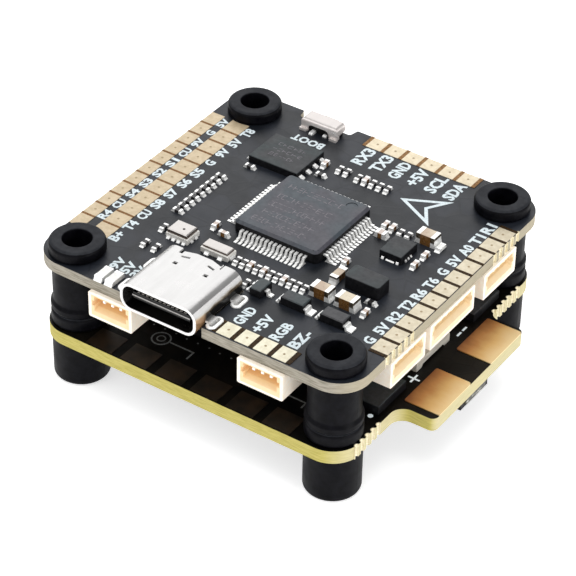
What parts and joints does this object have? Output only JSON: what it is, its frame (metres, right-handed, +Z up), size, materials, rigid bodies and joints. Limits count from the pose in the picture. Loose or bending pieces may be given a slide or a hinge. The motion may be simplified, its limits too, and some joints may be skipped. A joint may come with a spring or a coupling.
{
  "type": "flight controller board",
  "caption": "Two-board drone stack: a flight controller with USB socket, chips and solder pads on soft grommets above a motor speed controller board.",
  "frame": {"origin": "centre of the 30.5 mm mounting pattern, on the plane that the grommet feet stand on", "axes": "+Z up through the stack; -Y towards the USB edge; +X towards the battery tab"},
  "size_m": [0.0412, 0.0377, 0.0173],
  "materials": {
    "gold_pads": "immersion gold",
    "ceramic_base": "pale ceramic",
    "steel_shell": "bright nickel plate",
    "plug_black": "black liquid-crystal polymer",
    "switch_cream": "cream nylon",
    "tin": "bright tin plate and solder",
    "shunt_metal": "resistance alloy strip",
    "package_black": "moulded epoxy, laser-dulled",
    "copper_pads": "bare copper, satin",
    "esc_laminate": "near-black solder mask, yellow-green laminate edge",
    "ceramic_tan": "fired barium titanate ceramic",
    "silicone": "matte black silicone",
    "socket_ivory": "ivory nylon",
    "solder_mask": "satin charcoal solder mask over glass-fibre laminate",
    "resistor_dark": "glazed ruthenium film",
    "light_white": "white moulded lamp body",
    "contact_gold": "thin gold over phosphor bronze"
  },
  "bodies": {
    "speed_controller": {"current_shunt": "shunt_metal", "esc_battery_pads": "copper_pads", "esc_board": "esc_laminate", "esc_capacitor_bodies": "ceramic_tan", "esc_controllers": "package_black", "esc_edge_plating": "gold_pads", "esc_grommet_back_left": "silicone", "esc_grommet_back_right": "silicone", "esc_grommet_front_left": "silicone", "esc_grommet_front_right": "silicone", "esc_harness_contacts": "tin", "esc_harness_socket": "socket_ivory", "esc_mosfets": "package_black", "esc_motor_pads": "copper_pads", "esc_part_ends": "tin", "suppressor_body": "package_black"},
    "flight_controller": {"back_pads": "gold_pads", "barometer_base": "ceramic_base", "barometer_lid": "steel_shell", "boot_switch_base": "plug_black", "boot_switch_cover": "steel_shell", "chip_ends": "tin", "crystal_base": "ceramic_base", "crystal_lid": "steel_shell", "diode_bodies": "package_black", "fc_board": "solder_mask", "fc_edge_plating": "gold_pads", "fc_grommet_back_left": "silicone", "fc_grommet_back_right": "silicone", "fc_grommet_front_left": "silicone", "fc_grommet_front_right": "silicone", "flash_body": "package_black", "front_pads": "gold_pads", "gull_leads": "tin", "gyro_body": "package_black", "large_capacitor_bodies": "ceramic_tan", "left_pads": "gold_pads", "mcu_body": "package_black", "mcu_leads": "tin", "package_terminals": "tin", "power_inductor": "package_black", "regulator_body": "package_black", "resistor_bodies": "resistor_dark", "right_pads": "gold_pads", "small_capacitor_bodies": "ceramic_tan", "socket_contacts": "tin", "socket_front_left": "socket_ivory", "socket_front_right": "socket_ivory", "socket_harness": "socket_ivory", "socket_right_back": "socket_ivory", "socket_right_front": "socket_ivory", "socket_right_middle": "socket_ivory", "solder_joints": "tin", "status_lights": "light_white", "usb_contacts": "contact_gold", "usb_midplate": "steel_shell", "usb_shell": "steel_shell", "usb_tongue": "plug_black"},
    "boot_button": {"boot_switch_plunger": "switch_cream"}
  },
  "joints": [
    {"name": "stack_lift", "type": "slide", "parent": "speed_controller", "child": "flight_controller", "axis": [0, 0, 1], "range_m": [0, 0.02]},
    {"name": "boot_button_press", "type": "slide", "parent": "flight_controller", "child": "boot_button", "axis": [0, -1, 0], "range_m": [0, 0.00025], "stiffness_N_per_m": 2000, "springref_m": -0.00005}
  ]
}
